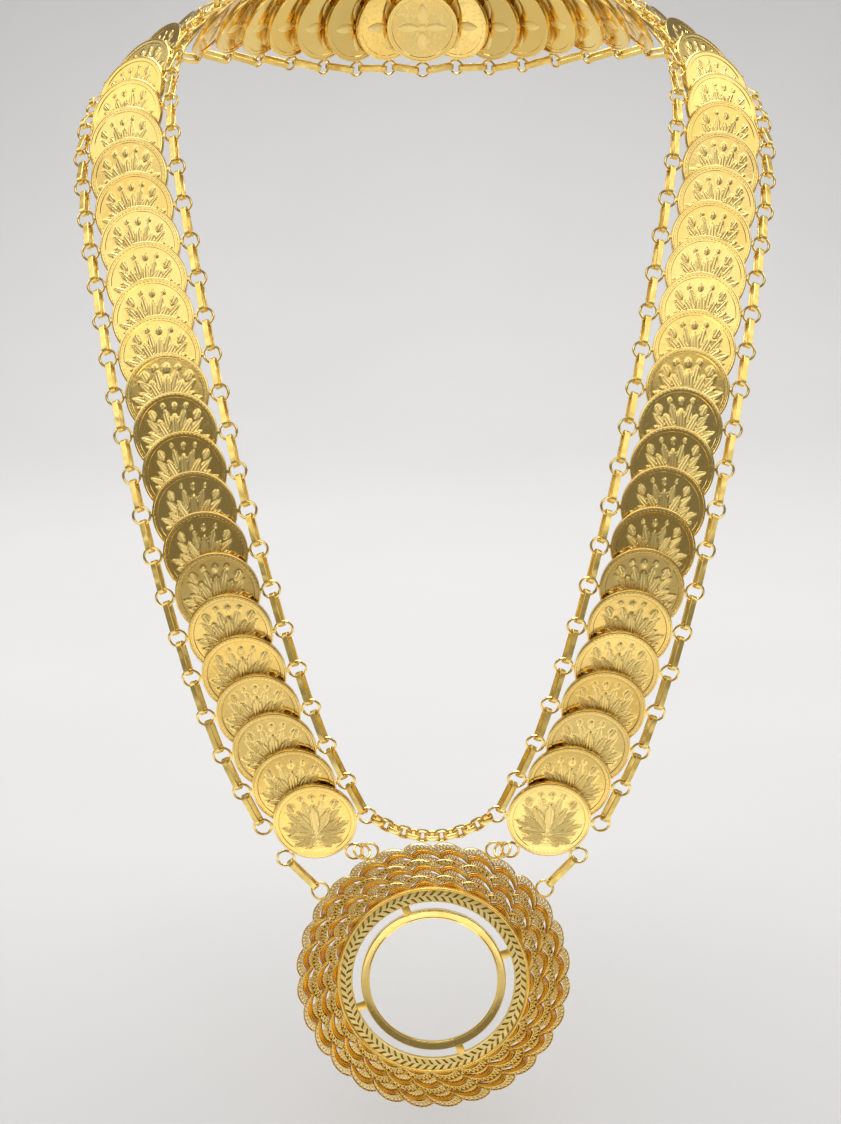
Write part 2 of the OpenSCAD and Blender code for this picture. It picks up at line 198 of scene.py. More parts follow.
def turned(profile, steps, closed=True):
    """Mesh turned about Z from a profile of (radius, height) points in mm."""
    bm = bmesh.new()
    line = [bm.verts.new((r * mm, 0, z * mm)) for r, z in profile]
    ends = line[1:] + line[:1] if closed else line[1:]
    edges = [bm.edges.new(pair) for pair in zip(line, ends)]
    bmesh.ops.spin(
        bm, geom=line + edges, cent=(0, 0, 0), axis=(0, 0, 1), dvec=(0, 0, 0), angle=2 * math.pi,
        steps=steps, use_merge=True, use_duplicate=False,
    )
    bmesh.ops.remove_doubles(bm, verts=bm.verts, dist=1e-7)
    bmesh.ops.recalc_face_normals(bm, faces=bm.faces)
    return bm


def pulled(bm, edges, vec):
    """Walls pulled out of some edges by a vector."""
    made = bmesh.ops.extrude_edge_only(bm, edges=edges)["geom"]
    bmesh.ops.translate(bm, verts=[g for g in made if isinstance(g, bmesh.types.BMVert)], vec=vec)


def as_mesh(bm, name):
    """Finished mesh of a bmesh, shaded smooth."""
    for face in bm.faces:
        face.smooth = True
    mesh = bpy.data.meshes.new(name)
    bm.to_mesh(mesh)
    bm.free()
    return mesh


def give(mesh, key, values):
    """Writes a value for each point of a mesh."""
    points = mesh.attributes.new(key, "FLOAT", "POINT").data
    points.foreach_set("value", np.array(values, np.float32))


def joined(name, *meshes):
    """One mesh of several, with their point values written anew, 0 where a mesh has none."""
    bm = bmesh.new()
    for mesh in meshes:
        bm.from_mesh(mesh)
    whole = as_mesh(bm, name)
    for key in sorted({a.name for mesh in meshes for a in mesh.attributes if a.data_type == "FLOAT"}):
        values = []
        for mesh in meshes:
            part = np.zeros(len(mesh.vertices), np.float32)
            if key in mesh.attributes:
                mesh.attributes[key].data.foreach_get("value", part)
            values.append(part)
        old = whole.attributes.get(key)
        if old:
            whole.attributes.remove(old)
        give(whole, key, np.concatenate(values))
    return whole


def struck_front():
    """Round face of the front die: a square grid drawn into a disc, closed behind."""
    wall = 0.3
    bm = bmesh.new()
    bmesh.ops.create_grid(bm, x_segments=struck_cells, y_segments=struck_cells, size=1)
    edge = [e for e in bm.edges if e.is_boundary]
    frost, veins = [], []
    for v in bm.verts:
        x = v.co.x * math.sqrt(1 - v.co.y ** 2 / 2) * struck_r
        y = v.co.y * math.sqrt(1 - v.co.x ** 2 / 2) * struck_r
        height, frosted, vein = struck(x, y)
        v.co = Vector((x, y, field_z + height)) * mm
        frost.append(frosted)
        veins.append(vein)
    pulled(bm, edge, (0, 0, -wall * mm))
    bmesh.ops.edgeloop_fill(bm, edges=[e for e in bm.edges if e.is_boundary])
    bmesh.ops.recalc_face_normals(bm, faces=bm.faces)
    hidden = [0] * (len(bm.verts) - len(frost))
    mesh = as_mesh(bm, "struck front")
    give(mesh, "frost", frost + hidden)
    give(mesh, "vein", veins + hidden)
    return mesh


def coin_blank():
    """Rim, edge and back field of the coin, turned in one, with a hollow for the struck front."""
    hollow_z = 0.3
    return as_mesh(turned([
        (0, hollow_z), (field_r, hollow_z), (field_r, field_z + 0.02), (struck_r + 0.12, rim_z),
        (coin_r, rim_z), (coin_r, -rim_z), (struck_r + 0.1, -rim_z), (field_r, -field_z), (0, -field_z),
    ], blank_steps, closed=False), "coin blank")


def rosette_back():
    """Button and four petals of the back die, as low domes sunk in the field."""
    button_r, button_h = 1.5, 0.24
    half_w, half_l, petal_h, petal_reach, taper = 1.7, 3.6, 0.22, 4.5, 0.45
    bm = bmesh.new()
    bmesh.ops.create_uvsphere(bm, u_segments=10, v_segments=5, radius=1)
    bmesh.ops.scale(bm, vec=(button_r * mm, button_r * mm, button_h * mm), verts=bm.verts)
    domes = [as_mesh(bm, "button")]
    for quarter in range(4):
        bm = bmesh.new()
        bmesh.ops.create_uvsphere(bm, u_segments=10, v_segments=6, radius=1)
        bmesh.ops.rotate(bm, verts=bm.verts, matrix=Matrix.Rotation(math.pi / 2, 3, "X"))
        for v in bm.verts:
            v.co.x *= 1 - taper * v.co.y ** 2
        bmesh.ops.scale(bm, vec=(half_w * mm, half_l * mm, petal_h * mm), verts=bm.verts)
        bmesh.ops.translate(bm, verts=bm.verts, vec=(0, petal_reach * mm, 0))
        bmesh.ops.rotate(bm, verts=bm.verts, matrix=Matrix.Rotation(quarter * math.pi / 2, 3, "Z"))
        domes.append(as_mesh(bm, "petal of the back"))
    whole = joined("rosette", *domes)
    whole.transform(Matrix.Translation((0, 0, -field_z * mm)))
    give(whole, "frost", [1] * len(whole.vertices))
    return whole


def shown(name, mesh, sharp=40):
    """An object for a finished mesh, with its creases sharper than so many degrees kept crisp."""
    mesh.set_sharp_from_angle(angle=math.radians(sharp))
    piece = bpy.data.objects.new(name, mesh)
    bpy.context.scene.collection.objects.link(piece)
    return piece


def set_out(name, pattern, places, seed):
    """A piece with the pattern at each place, where every copy has a tone of its own."""
    copies = []
    for place in places:
        copy = pattern.copy()
        copy.transform(place)
        copies.append(copy)
    mesh = joined(name, *copies)
    tones = np.random.default_rng(seed).random(len(places))
    give(mesh, "tone", np.repeat(tones, len(pattern.vertices)))
    return shown(name, mesh)


def put(tree, kind, links=(), **settings):
    """Adds a node: settings are its options or input sockets, links are (input, output socket)."""
    made = tree.nodes.new(kind)
    for key, value in settings.items():
        if key in made.bl_rna.properties:
            setattr(made, key, value)
    for key, value in settings.items():
        if key not in made.bl_rna.properties:
            made.inputs[key.replace("_", " ")].default_value = value
    for socket, source in links:
        tree.links.new(source, made.inputs[socket])
    return made


def ranged(tree, source, low, high, start=0.0, end=1.0):
    """A value moved from the range start..end to low..high."""
    made = put(tree, "ShaderNodeMapRange", [("Value", source)])
    for socket, value in (("From Min", start), ("From Max", end), ("To Min", low), ("To Max", high)):
        made.inputs[socket].default_value = value
    return made.outputs[0]


def maths(tree, operation, *values):
    """Result of a maths node on some sockets or numbers."""
    made = put(tree, "ShaderNodeMath", operation=operation)
    for slot, value in enumerate(values):
        if isinstance(value, float):
            made.inputs[slot].default_value = value
        else:
            tree.links.new(value, made.inputs[slot])
    return made.outputs[0]


def mixed(tree, factor, a, b):
    """Colour between two colours or sockets by a factor socket."""
    mix = put(tree, "ShaderNodeMix", data_type="RGBA")
    tree.links.new(factor, mix.inputs["Factor"])
    for socket, value in (("A", a), ("B", b)):
        target = next(s for s in mix.inputs if s.name == socket and s.type == "RGBA")
        if isinstance(value, tuple):
            target.default_value = (*value, 1)
        else:
            tree.links.new(value, target)
    return next(s for s in mix.outputs if s.type == "RGBA")


def point_value(tree, key):
    """Value that the mesh gives for each point."""
    return put(tree, "ShaderNodeAttribute", attribute_name=key).outputs["Fac"]


def skin_group():
    """Shared surface of worked gold: broad cloudiness, hairline scratches and a fine orange peel."""
    group = bpy.data.node_groups.new("worked gold skin", "ShaderNodeTree")
    for name, value in (("Cloud Scale", 120.0), ("Scratch Scale", 900.0), ("Depth", 0.1)):
        socket = group.interface.new_socket(name, in_out="INPUT", socket_type="NodeSocketFloat")
        socket.default_value = value
    for name, kind in (("Cloud", "Float"), ("Scratches", "Float"), ("Normal", "Vector")):
        group.interface.new_socket(name, in_out="OUTPUT", socket_type="NodeSocket" + kind)
    given, out = group.nodes.new("NodeGroupInput"), group.nodes.new("NodeGroupOutput")
    place = put(group, "ShaderNodeTexCoord").outputs["Object"]
    cloud = put(
        group, "ShaderNodeTexNoise", [("Vector", place), ("Scale", given.outputs["Cloud Scale"])],
        Detail=4.0,
    )
    long_way = put(
        group, "ShaderNodeMapping", [("Vector", place)], Rotation=(0.5, 0.9, 0.7), Scale=(1, 0.06, 1),
    )
    hair = put(
        group, "ShaderNodeTexNoise",
        [("Vector", long_way.outputs[0]), ("Scale", given.outputs["Scratch Scale"])],
        Detail=3.0, Roughness=0.6,
    )
    thin = ranged(group, hair.outputs["Fac"], 0.0, 1.0, start=0.52, end=0.7)
    peel = put(group, "ShaderNodeTexNoise", [("Vector", place)], Scale=2600.0, Detail=2.0)
    uneven = maths(group, "ADD", thin, peel.outputs["Fac"])
    bump = put(
        group, "ShaderNodeBump", [("Height", uneven), ("Strength", given.outputs["Depth"])],
        Distance=0.00004,
    )
    group.links.new(cloud.outputs["Fac"], out.inputs["Cloud"])
    group.links.new(thin, out.inputs["Scratches"])
    group.links.new(bump.outputs[0], out.inputs["Normal"])
    return group


gold_skin = skin_group()


def new_metal(name, cloud_scale, wear):
    """A metal with its tree, its shader and its skin, for a size of cloud and a depth of wear."""
    metal = bpy.data.materials.new(name)
    metal.use_nodes = True
    shader = metal.node_tree.nodes["Principled BSDF"]
    shader.inputs["Metallic"].default_value = 1.0
    skin = put(metal.node_tree, "ShaderNodeGroup", node_tree=gold_skin)
    skin.inputs["Cloud Scale"].default_value = cloud_scale
    skin.inputs["Depth"].default_value = wear
    return metal, metal.node_tree, shader, skin


def struck_gold():
    """Coin gold: mirror field, frosted relief with engraved veins, and a tone for each coin."""
    metal, tree, shader, skin = new_metal("struck coin gold", 90.0, 0.12)
    frost = point_value(tree, "frost")
    vein_rate = 8.0
    veins = maths(tree, "SINE", maths(tree, "MULTIPLY", point_value(tree, "vein"), vein_rate))
    engraved = put(
        tree, "ShaderNodeBump",
        [("Height", maths(tree, "MULTIPLY", veins, frost)), ("Normal", skin.outputs["Normal"])],
        Strength=0.8, Distance=0.00012,
    )
    place = put(tree, "ShaderNodeTexCoord").outputs["Object"]
    sand = put(tree, "ShaderNodeTexNoise", [("Vector", place)], Scale=5200.0, Detail=3.0)
    matt = maths(tree, "MULTIPLY", sand.outputs["Fac"], frost)
    frosted = put(
        tree, "ShaderNodeBump", [("Height", matt), ("Normal", engraved.outputs[0])],
        Strength=0.6, Distance=0.00004,
    )
    cloud = skin.outputs["Cloud"]
    mirror = mixed(tree, point_value(tree, "tone"), *mirror_golds)
    dimmed = ranged(tree, cloud, 0.0, 0.5, start=0.35, end=0.8)
    clouded = mixed(tree, dimmed, mirror, clouded_gold)
    tree.links.new(mixed(tree, frost, clouded, frosted_gold), shader.inputs["Base Color"])
    scratched = ranged(tree, skin.outputs["Scratches"], 0.0, 0.1)
    rough = maths(tree, "ADD", ranged(tree, frost, 0.1, 0.3), scratched)
    rough = maths(tree, "ADD", rough, ranged(tree, cloud, 0.0, 0.08, start=0.3, end=0.8))
    tree.links.new(rough, shader.inputs["Roughness"])
    tree.links.new(frosted.outputs[0], shader.inputs["Normal"])
    return metal


coin = joined("coin", struck_front(), coin_blank(), rosette_back())
coin_gold = struck_gold()
places_left = coin_places("coins_left")
*places_right, place_nape = coin_places("coins_right", "nape_coin")
for name, node, places, seed in (
    ("struck_coins_left", "coins_left", places_left, 3),
    ("struck_coins_right", "coins_right", places_right, 4),
    ("struck_coin_nape", "nape_coin", [place_nape], 5),
):
    piece = set_out(name, coin, places, seed)
    piece.data.materials.append(coin_gold)
    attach(piece, "root")
    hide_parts(node)

# Bezels: a band of gold strip round each coin, with a milled wire laid inside its front edge. The
# side rings are bent from round wire and soldered to the band with a small lug. The last coin of
# each strand has two more rings below.
bezel_r = 11.5
bezel_h = 1.7
grip = 0.02
band_steps = 64
mill_count = 60
ring_reach = 14.35
ring_mean_r = 2.325
ring_wire = 0.75
lower_rings = (-48, -131)
lug_size = (0.9, 1.15, 0.7)
lug_reach = bezel_r + 0.28


def bezel_band():
    """Band with rounded edges, a hair over the coin's edge."""
    inside, half, soft = coin_r - grip, bezel_h / 2, 0.12
    return as_mesh(turned([
        (inside, half - soft), (coin_r + soft, half), (bezel_r - 2 * soft, half),
        (bezel_r - soft / 2, half - soft), (bezel_r, half - 3 * soft), (bezel_r, -half + 2 * soft),
        (bezel_r - soft, -half), (inside, -half),
    ], band_steps), "band")


def milled_wire():
    """Fine beads between the coin's rim and the band: a turned ridge pressed in at every other step."""
    foot_z, ridge_z, press = 0.66, 0.83, 0.13
    bm = turned([
        (coin_r - 0.6, foot_z), (coin_r - 0.32, ridge_z), (coin_r - grip, foot_z),
    ], 2 * mill_count)
    for v in bm.verts:
        step = round(math.atan2(v.co.y, v.co.x) / math.pi * mill_count)
        if step % 2 and v.co.z > (foot_z + ridge_z) / 2 * mm:
            v.co.z -= press * mm
    return as_mesh(bm, "milled wire")


def round_ring(mean_r, wire, steps=28, sides=8):
    """Ring of round wire about Z."""
    corners = [2 * math.pi * s / sides for s in range(sides)]
    return turned([(mean_r + wire / 2 * math.cos(a), wire / 2 * math.sin(a)) for a in corners], steps)


def soft_block(size):
    """Small block with rounded edges, about the origin."""
    edge = 0.2
    block = bmesh.new()
    bmesh.ops.create_cube(block, size=1)
    bmesh.ops.scale(block, vec=tuple(side * mm for side in size), verts=block.verts)
    bmesh.ops.bevel(
        block, geom=block.edges[:], offset=edge * mm, offset_type="OFFSET", affect="EDGES", segments=2,
        profile=0.5, material=-1, clamp_overlap=True,
    )
    return block


def soldered_ring(angle):
    """Side ring with its lug, which widens to both ends, at an angle from the coin's right."""
    flare = 0.5
    ring = round_ring(ring_mean_r, ring_wire)
    bmesh.ops.translate(ring, verts=ring.verts, vec=(ring_reach * mm, 0, 0))
    lug = soft_block(lug_size)
    for v in lug.verts:
        v.co.y *= 1 + flare * abs(v.co.x / (lug_size[0] / 2 * mm)) ** 2
    bmesh.ops.translate(lug, verts=lug.verts, vec=(lug_reach * mm, 0, 0))
    whole = joined("soldered ring", as_mesh(ring, "ring"), as_mesh(lug, "lug"))
    whole.transform(Matrix.Rotation(math.radians(angle), 4, "Z"))
    return whole


def polished_gold(name, colour, deep, rough, cloud_scale=150.0, wear=0.1, inside=None, dents=0.0):
    """Polished gold with hairline wear, of a colour that turns deep where it is cloudy.

    inside is a colour of painted shade in its openings, where the mesh's value for painted shade is 1:
    it is 0 at the front and 2 at the back, so the painted shade is darkest halfway. dents is how deep
    it is dented, in mm.
    """
    metal, tree, shader, skin = new_metal(name, cloud_scale, wear)
    cloud = ranged(tree, skin.outputs["Cloud"], 0.0, 1.0, start=0.35, end=0.75)
    tone = mixed(tree, cloud, colour, deep)
    # Painted shade: the openings darken towards the middle of their depth, by the mesh's value for
    # painted shade
    if inside:
        sunk = maths(tree, "PINGPONG", point_value(tree, "recess"), 1.0)
        tone = mixed(tree, ranged(tree, sunk, 0.0, 1.0, start=0.1, end=0.7), tone, inside)
    tree.links.new(tone, shader.inputs["Base Color"])
    scratched = ranged(tree, skin.outputs["Scratches"], 0.0, 0.12)
    worn = maths(tree, "ADD", scratched, ranged(tree, cloud, rough, rough + 0.08))
    tree.links.new(worn, shader.inputs["Roughness"])
    surface = skin.outputs["Normal"]
    if dents:
        place = put(tree, "ShaderNodeTexCoord").outputs["Object"]
        uneven = put(tree, "ShaderNodeTexNoise", [("Vector", place)], Scale=170.0, Detail=1.0)
        surface = put(
            tree, "ShaderNodeBump", [("Height", uneven.outputs["Fac"]), ("Normal", surface)],
            Strength=1.0, Distance=dents * mm,
        ).outputs[0]
    tree.links.new(surface, shader.inputs["Normal"])
    return metal


bezel_gold = polished_gold("polished bezel gold", (0.94, 0.70, 0.25), (0.87, 0.59, 0.16), 0.17)
bezel = joined("bezel", bezel_band(), milled_wire(), soldered_ring(0), soldered_ring(180))
last_left = joined("last bezel left", bezel, *[soldered_ring(180 - a) for a in lower_rings])
last_right = joined("last bezel right", bezel, *[soldered_ring(a) for a in lower_rings])
for name, node, mesh, places, seed in (
    ("bezels_left", "coins_left", bezel, places_left[1:], 6),
    ("last_bezel_left", "coins_left", last_left, places_left[:1], 6),
    ("bezels_right", "coins_right", bezel, places_right[1:], 7),
    ("last_bezel_right", "coins_right", last_right, places_right[:1], 7),
    ("bezel_nape", "nape_coin", bezel, [place_nape], 8),
):
    piece = set_out(name, mesh, places, seed)
    piece.data.materials.append(bezel_gold)
    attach(piece, "root")
    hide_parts(node)

# Long links: flat gold strip bent round into a slim loop through the rings of two coins and closed
# at the side. Tumbled together, so that their edges are soft. One longer pair carries the pendant.
link_edge = 0.1
link_gold = polished_gold(
    "tumbled link gold", (0.93, 0.71, 0.24), (0.86, 0.58, 0.14), 0.27, cloud_scale=400.0, wear=0.2,
    dents=0.9,
)


def softened(name, node, edge, steps=1):
    """A piece with the CAD node's own shape and its sharp edges rounded."""
    flat_within, crease_from = math.radians(1), math.radians(50)
    bm = bmesh.new()
    bm.from_mesh(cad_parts[node].data)
    bmesh.ops.remove_doubles(bm, verts=bm.verts, dist=1e-7)
    bmesh.ops.dissolve_limit(bm, angle_limit=flat_within, verts=bm.verts, edges=bm.edges)
    creases = [e for e in bm.edges if e.is_manifold and e.calc_face_angle() > crease_from]
    bmesh.ops.bevel(
        bm, geom=creases, offset=edge * mm, offset_type="OFFSET", affect="EDGES", segments=steps,
        profile=0.5, material=-1, clamp_overlap=True,
    )
    bmesh.ops.triangulate(bm, faces=[f for f in bm.faces if len(f.verts) > 4])
    return shown(name, as_mesh(bm, name), sharp=30)


for node in (
    "outer_links_left", "outer_links_right", "inner_links_left", "inner_links_right",
    "drop_link_left", "drop_link_right",
):
    piece = softened("soft_" + node, node, link_edge)
    piece.data.materials.append(link_gold)
    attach(piece, "root")
    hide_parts(node)

# Bridle chain: thirteen short links of flat wire, each turned a quarter to the next, between the
# last coins. The jump rings are round wire, opened and closed by hand.
chain_edge = 0.18
chain_gold = polished_gold(
    "bright chain gold", (0.96, 0.72, 0.26), (0.88, 0.58, 0.14), 0.12, cloud_scale=500.0, wear=0.15,
)
piece = softened("soft_bridle_chain", "bridle_chain", chain_edge, steps=2)
piece.data.materials.append(chain_gold)
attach(piece, "root")
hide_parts("bridle_chain")
for node in ("jump_ring_left", "jump_ring_right"):
    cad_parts[node].data.materials.clear()
    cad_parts[node].data.materials.append(chain_gold)

# Pendant petals: three rows of petals in drawn wire, soldered flat, each row lapping over the one
# outside it. A petal is an arch of pale round wire over a course of cells in flat wire set on edge,
# and stout leaf wires that run on to the foot of the arch over a short lower course.
pendant_lean = 8
pendant_middle = (0, -127.684, -246.181)
pendant_at = (
    Matrix.Translation([c * mm for c in pendant_middle])
    @ Matrix.Rotation(math.radians(90 - pendant_lean), 4, "X")
)

# Rows: sizes are in mm from the pendant's middle, and Z points out of its front
row_r = (38.4, 34.15, 29.9)
row_lift = 1.0
row_middle = 0.5
petals = (28, 25, 22)
petal_start = 0.93
swirl = 0.08
inset = 0.24
# How far in mm the painted shade in the openings reaches above and below a row's middle
painted_shade_reach = 0.28
ball_r = 0.42

# Wires by width, height and number of sides, where four sides make flat wire on edge
arch_wire = (0.44, 0.95, 6)
leaf_wire = (0.6, 0.95, 6)
last_leaf_wire = (0.48, 0.9, 6)
course_wire = (0.28, 0.8, 4)
cell_wire = (0.27, 0.75, 4)

# Lines of a petal, each by four points that pull it: place along the petal's pitch and depth in mm
outline = ((-0.15, 1.35), (0.22, -0.75), (0.95, -0.9), (1.0, 4.4))
course = ((-0.06, 2.55), (0.24, 0.85), (0.8, 0.75), (0.97, 4.4))
leaf_rib = ((0.0, 2.95), (0.28, 1.35), (0.74, 1.25), (0.95, 4.42))
leaf_side = ((0.0, 3.4), (0.3, 1.9), (0.7, 1.8), (0.93, 4.5))
last_rib = ((0.0, 3.8), (0.3, 2.45), (0.64, 2.3), (0.92, 4.55))
low_rib = ((-0.05, 5.2), (0.25, 4.0), (0.6, 3.85), (0.88, 5.2))
foot_line = ((-0.1, 6.4), (0.2, 5.3), (0.55, 5.3), (0.9, 6.2))


def set_wires(runs, width, height, sides):
    """Mesh of wires, taller than wide, along runs of points in mm."""
    squash = width / height
    curve = bpy.data.curves.new("runs", "CURVE")
    curve.dimensions = "3D"
    curve.twist_mode = "Z_UP"
    curve.bevel_depth = width / 2 if sides > 4 else width / math.sqrt(2)
    curve.bevel_resolution = sides // 2 - 2
    curve.use_fill_caps = True
    for points in runs:
        spline = curve.splines.new("POLY")
        spline.points.add(len(points) - 1)
        for spot, (x, y, z) in zip(spline.points, points):
            spot.co = (x, y, z * squash, 1)
            spot.tilt = math.pi / sides
    holder = bpy.data.objects.new("runs", curve)
    mesh = bpy.data.meshes.new_from_object(holder)
    bpy.data.objects.remove(holder)
    bpy.data.curves.remove(curve)
    mesh.transform(Matrix.Diagonal((mm, mm, mm / squash, 1)))
    return mesh


def petal_row(i):
    """Meshes of one row of petals in its place: the arches, and what fills them."""
    petal_turn = 2 * math.pi / petals[i]
    middle_z = i * row_lift + row_middle

    def at(line, u, rise=0.0):
        """Point at a share u of a line of the petal."""
        pulls = ((1 - u) ** 3, 3 * u * (1 - u) ** 2, 3 * u * u * (1 - u), u ** 3)
        t, depth = (sum(pull * point[axis] for pull, point in zip(pulls, line)) for axis in (0, 1))
        turn = petal_turn * (petal_start - t - swirl * depth)
        r = row_r[i] - inset - depth
        return (-r * math.sin(turn), r * math.cos(turn), middle_z + rise)

    def run(line, start, end, count, rise=0.0):
        """Points of a wire along a line."""
        return [at(line, u, rise) for u in np.linspace(start, end, count)]

    def cells(outer, inner, start, end, count, rise=-0.1):
        """Short straight wires to and fro between two lines."""
        corners = [
            at(outer if step % 2 else inner, u, rise)
            for step, u in enumerate(np.linspace(start, end, 2 * count + 1))
        ]
        return list(zip(corners, corners[1:]))

    def all_round(*parts):
        """One petal's meshes set out round the row, with their depth in the row as the value for
        painted shade.
        """
        bm = bmesh.new()
        for mesh in parts:
            bm.from_mesh(mesh)
        bmesh.ops.spin(
            bm, geom=bm.verts[:] + bm.edges[:] + bm.faces[:], cent=(0, 0, 0), axis=(0, 0, 1),
            dvec=(0, 0, 0), angle=2 * math.pi - petal_turn, steps=petals[i] - 1, use_duplicate=True,
        )
        mesh = as_mesh(bm, "petals")
        # Painted shade: the wires' sides darken with their depth below the row's middle
        below = [1 - (v.co.z / mm - middle_z) / painted_shade_reach for v in mesh.vertices]
        give(mesh, "recess", [min(2, max(0, depth)) for depth in below])
        mesh.transform(pendant_at)
        return mesh

    ball = bmesh.new()
    bmesh.ops.create_icosphere(ball, subdivisions=1, radius=ball_r * mm)
    bmesh.ops.translate(ball, verts=ball.verts, vec=Vector(at(outline, 0.01, rise=0.25)) * mm)
    arch = set_wires([run(outline, 0, 1, 22, rise=0.1)], *arch_wire)
    arches = all_round(arch, as_mesh(ball, "ball"))
    courses = [run(course, 0, 0.97, 14), run(low_rib, 0, 1, 10), run(foot_line, 0, 1, 8)]
    leaves = [run(leaf_rib, 0, 1, 13, rise=0.06), run(leaf_side, 0, 1, 12, rise=0.04)]
    all_cells = [
        *cells(outline, course, 0.04, 0.86, 8), *cells(last_rib, low_rib, 0, 0.66, 6),
        *cells(low_rib, foot_line, 0, 1, 7),
    ]
    filling = all_round(
        set_wires(courses, *course_wire), set_wires(leaves, *leaf_wire),
        set_wires([run(last_rib, 0, 1, 10)], *last_leaf_wire), set_wires(all_cells, *cell_wire),
    )
    return arches, filling


# The filigree and the arches are painted a deep brown down in their openings: painted shade
filigree_gold = polished_gold(
    "drawn filigree gold", (1.0, 0.68, 0.17), (0.90, 0.54, 0.10), 0.24, cloud_scale=300.0, wear=0.15,
    inside=(0.20, 0.09, 0.015),
)
arch_gold = polished_gold(
    "pale arch gold", (1.0, 0.80, 0.34), (0.95, 0.70, 0.22), 0.24, cloud_scale=300.0, wear=0.15,
    inside=(0.30, 0.15, 0.02),
)
arches, fillings = zip(*[petal_row(i) for i in range(len(petals))])
for name, mesh, gold in (
    ("petals_outer", fillings[0], filigree_gold),
    ("petals_middle", fillings[1], filigree_gold),
    ("petals_inner", fillings[2], filigree_gold),
    ("petal_arches", joined("petal arches", *arches), arch_gold),
):
    piece = shown(name, mesh, sharp=60)
    piece.data.materials.append(gold)
    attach(piece, "root")
    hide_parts("pendant")

# Collar: a flat ring of gold plate cut with two rows of slanted diamond-cut notches that meet in a
# V, and edged with a round wire where the petals are soldered on.
collar_z = 3.0
collar_top = 4.5
collar_r = 26.7
collar_hole_r = 22.5
edge_w = 0.9
notch_steps = 144


def cut_collar():
    """Turned plate whose face is two bands of slanted cells, every second cell cut to a groove."""
    crown, slant_steps = 0.02, 1.1
    land, side_w, groove_h = 0.15, 0.22, 0.45
    inner, outer = collar_hole_r + 0.25, collar_r - edge_w
    middle = (inner + outer) / 2
    bm = turned([
        (collar_hole_r, collar_top - 0.25), (inner, collar_top), (middle, collar_top + crown),
        (outer, collar_top), (collar_r, collar_top - 0.3), (collar_r, collar_z),
        (collar_hole_r, collar_z),
    ], notch_steps)
    # The points between the two bands are turned a little, which slants the cells of both
    slant = Matrix.Rotation(2 * math.pi / notch_steps * slant_steps, 3, "Z")
    for v in bm.verts:
        if v.co.z > (collar_top + crown / 2) * mm:
            v.co = slant @ v.co
    cells = []
    for face in bm.faces:
        centre = face.calc_center_median()
        if centre.z > collar_top * mm:
            step = math.floor(math.atan2(centre.y, centre.x) / (2 * math.pi) * notch_steps)
            if (step + (math.hypot(centre.x, centre.y) > middle * mm)) % 2:
                cells.append(face)
    bmesh.ops.inset_individual(bm, faces=cells, thickness=land * mm, depth=0)
    bmesh.ops.inset_individual(bm, faces=cells, thickness=side_w * mm, depth=-groove_h * mm)
    # Painted shade: the bottoms of the grooves are marked to be painted darker
    deep = {v for face in cells for v in face.verts}
    recess = [1.0 if v in deep else 0.0 for v in bm.verts]
    mesh = as_mesh(bm, "collar")
    give(mesh, "recess", recess)
    mesh.transform(pendant_at)
    return mesh


def edge_wire():
    """Round wire on the collar's outer edge."""
    wire = round_ring(collar_r - edge_w / 2, edge_w, steps=160, sides=10)
    bmesh.ops.translate(wire, verts=wire.verts, vec=(0, 0, collar_top * mm))
    mesh = as_mesh(wire, "edge wire")
    mesh.transform(pendant_at)
    return mesh


# The collar gold is painted darker in the grooves of its notches: painted shade
collar_gold = polished_gold(
    "diamond-cut collar gold", (1.0, 0.80, 0.34), (0.95, 0.70, 0.22), 0.4, cloud_scale=350.0, wear=0.2,
    inside=(0.42, 0.29, 0.05),
)
for name, mesh, sharp, gold in (
    ("collar_plate", cut_collar(), 20, collar_gold),
    ("collar_edge_wire", edge_wire(), 40, filigree_gold),
):
    piece = shown(name, mesh, sharp)
    piece.data.materials.append(gold)
    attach(piece, "root")
    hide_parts("pendant")

# Coin ring: an empty seat for a large coin, turned from heavy gold with a narrow lip in front, and
# held in the collar by four soldered tabs.
seat_outer_r = 20.1
seat_r = 18.15
lip_r = 17.7
lip_h = 0.5
seat_z = 1.9
seat_top = 4.5
seat_steps = 160
tab_size = (3.4, 2.2, 1.0)
tab_reach = 21.3
tab_z = 3.7
first_tab = 20


def coin_seat():
    """Ring with its seat open to the back: its outside, rounded front, lip and seat in turn."""
    mesh = as_mesh(turned([
        (seat_r, seat_z), (seat_outer_r - 0.2, seat_z), (seat_outer_r, seat_z + 0.25),
        (seat_outer_r, seat_top - 0.4), (seat_outer_r - 0.1, seat_top - 0.14),
        (seat_outer_r - 0.3, seat_top), (seat_outer_r - 0.5, seat_top - 0.04),
        (seat_outer_r - 0.62, seat_top - 0.1), (lip_r + 0.5, seat_top - 0.3),
        (lip_r + 0.42, seat_top - 0.2), (lip_r + 0.26, seat_top - 0.1), (lip_r + 0.08, seat_top - 0.14),
        (lip_r, seat_top - 0.3), (lip_r, seat_top - lip_h), (seat_r, seat_top - lip_h),
    ], seat_steps), "coin seat")
    mesh.transform(pendant_at)
    return mesh


def tab(angle):
    """One soldered tab between the coin ring and the collar."""
    block = soft_block(tab_size)
    bmesh.ops.translate(block, verts=block.verts, vec=(tab_reach * mm, 0, tab_z * mm))
    mesh = as_mesh(block, "tab")
    mesh.transform(pendant_at @ Matrix.Rotation(math.radians(angle), 4, "Z"))
    return mesh


